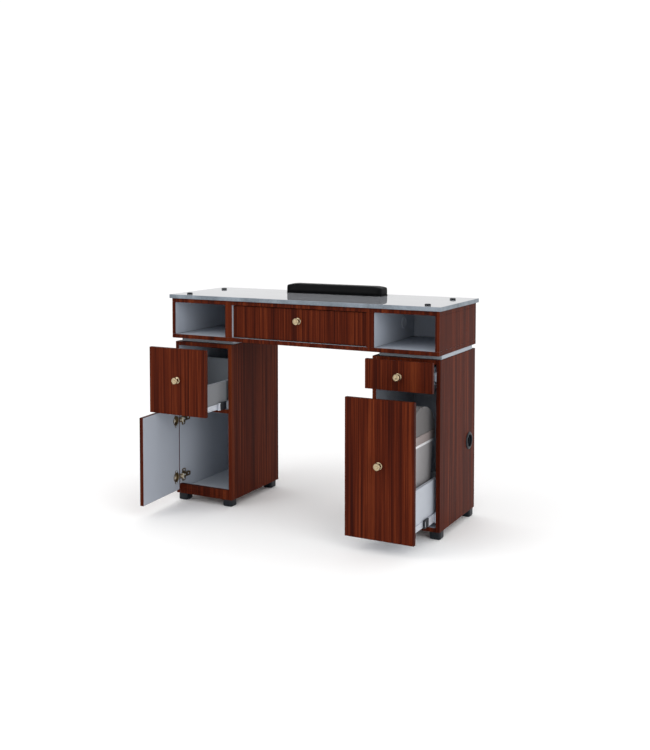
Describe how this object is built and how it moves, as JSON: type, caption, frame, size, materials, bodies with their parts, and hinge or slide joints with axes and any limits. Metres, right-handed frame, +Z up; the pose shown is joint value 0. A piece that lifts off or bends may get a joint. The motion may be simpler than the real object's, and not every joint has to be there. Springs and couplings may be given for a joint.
{
  "type": "manicure table",
  "caption": "Two-pedestal manicure table with a stone-look top, open niches, drawers, a hinged door, an armrest cushion and a swing-top waste bin in a pull-out drawer.",
  "frame": {"origin": "on the floor, in the middle of the width of the worktop, 70 mm behind the front face of the upper cabinet, which is midway between the open door's free edge and the worktop's rear edge", "axes": "+X to the right of the person who works at the table, +Y from that person to the client, +Z up"},
  "size_m": [1.0938, 0.603, 0.8231],
  "materials": {
    "stone_top": "polished light grey stone look, darker speckled edge",
    "wood_laminate": "satin red-brown laminate with upright grain outside, grey lining inside",
    "grey_lining": "matt grey melamine lining",
    "light_spacer": "matt light grey",
    "slide_steel": "zinc-plated steel",
    "knob_brass": "polished champagne brass",
    "hinge_brass": "plated bronze-coloured steel",
    "black_plastic": "moulded black plastic",
    "bin_plastic": "satin light grey moulded plastic",
    "cushion_cover": "black artificial leather, soft sheen"
  },
  "bodies": {
    "carcass": {"top_slab": "stone_top", "armrest_cushion": "cushion_cover", "cabinet_top_panel": "wood_laminate", "cabinet_bottom_panel": "wood_laminate", "cabinet_left_side": "wood_laminate", "cabinet_right_side": "wood_laminate", "cabinet_left_divider": "wood_laminate", "cabinet_right_divider": "wood_laminate", "left_pedestal_outer_side": "wood_laminate", "left_pedestal_inner_side": "wood_laminate", "left_pedestal_top": "wood_laminate", "left_pedestal_base": "wood_laminate", "left_pedestal_shelf": "wood_laminate", "left_pedestal_rail": "wood_laminate", "right_pedestal_outer_side": "wood_laminate", "right_pedestal_inner_side": "wood_laminate", "right_pedestal_top": "wood_laminate", "right_pedestal_base": "wood_laminate", "cabinet_back_panel": "grey_lining", "left_pedestal_back": "grey_lining", "right_pedestal_back": "grey_lining", "left_spacer": "light_spacer", "right_spacer": "light_spacer", "upper_hinge_arm": "hinge_brass", "lower_hinge_arm": "hinge_brass", "cable_port_ring": "black_plastic", "left_inner_front_foot": "black_plastic", "left_inner_rear_foot": "black_plastic", "left_outer_front_foot": "black_plastic", "left_outer_rear_foot": "black_plastic", "right_inner_front_foot": "black_plastic", "right_inner_rear_foot": "black_plastic", "right_outer_front_foot": "black_plastic", "right_outer_rear_foot": "black_plastic"},
    "centre_drawer": {"centre_drawer_front": "wood_laminate", "centre_drawer_box": "grey_lining", "centre_drawer_knob": "knob_brass"},
    "left_drawer": {"left_drawer_front": "wood_laminate", "left_drawer_box": "grey_lining", "left_drawer_knob": "knob_brass"},
    "left_drawer_slides": {"left_drawer_slide_near": "slide_steel", "left_drawer_slide_far": "slide_steel"},
    "small_drawer": {"small_drawer_front": "wood_laminate", "small_drawer_box": "grey_lining", "small_drawer_knob": "knob_brass"},
    "big_drawer": {"big_drawer_front": "wood_laminate", "big_drawer_box": "grey_lining", "big_drawer_knob": "knob_brass", "bin_body": "bin_plastic", "bin_lid": "bin_plastic"},
    "big_drawer_slides": {"big_drawer_slide_near": "slide_steel", "big_drawer_slide_far": "slide_steel"},
    "door": {"door_panel": "wood_laminate", "door_knob": "knob_brass", "upper_hinge_cup": "hinge_brass", "lower_hinge_cup": "hinge_brass"},
    "bin_flap": {"bin_flap": "bin_plastic"}
  },
  "joints": [
    {"name": "centre_drawer_slide", "type": "slide", "parent": "carcass", "child": "centre_drawer", "axis": [0, -1, 0], "range_m": [0, 0.225]},
    {"name": "left_drawer_slide", "type": "slide", "parent": "carcass", "child": "left_drawer", "axis": [0, -1, 0], "range_m": [-0.149, 0.151]},
    {"name": "left_middle_slide", "type": "slide", "parent": "carcass", "child": "left_drawer_slides", "axis": [0, -1, 0], "range_m": [-0.0745, 0.0755]},
    {"name": "small_drawer_slide", "type": "slide", "parent": "carcass", "child": "small_drawer", "axis": [0, -1, 0], "range_m": [-0.048, 0.177]},
    {"name": "big_drawer_slide", "type": "slide", "parent": "carcass", "child": "big_drawer", "axis": [0, -1, 0], "range_m": [-0.2, 0.1]},
    {"name": "big_middle_slide", "type": "slide", "parent": "carcass", "child": "big_drawer_slides", "axis": [0, -1, 0], "range_m": [-0.1, 0.05]},
    {"name": "door_hinge", "type": "hinge", "parent": "carcass", "child": "door", "pos_m": [-0.5285, -0.0625, 0.2025], "axis": [0, 0, 1], "range_deg": [-24, 86]},
    {"name": "bin_flap_swing", "type": "hinge", "parent": "big_drawer", "child": "bin_flap", "pos_m": [0.412, -0.097, 0.4546], "axis": [1, 0, 0], "range_deg": [-60, 60]}
  ],
  "couplings": [
    {"joint": "left_middle_slide", "follows": "left_drawer_slide", "ratio": 0.5},
    {"joint": "big_middle_slide", "follows": "big_drawer_slide", "ratio": 0.5}
  ]
}
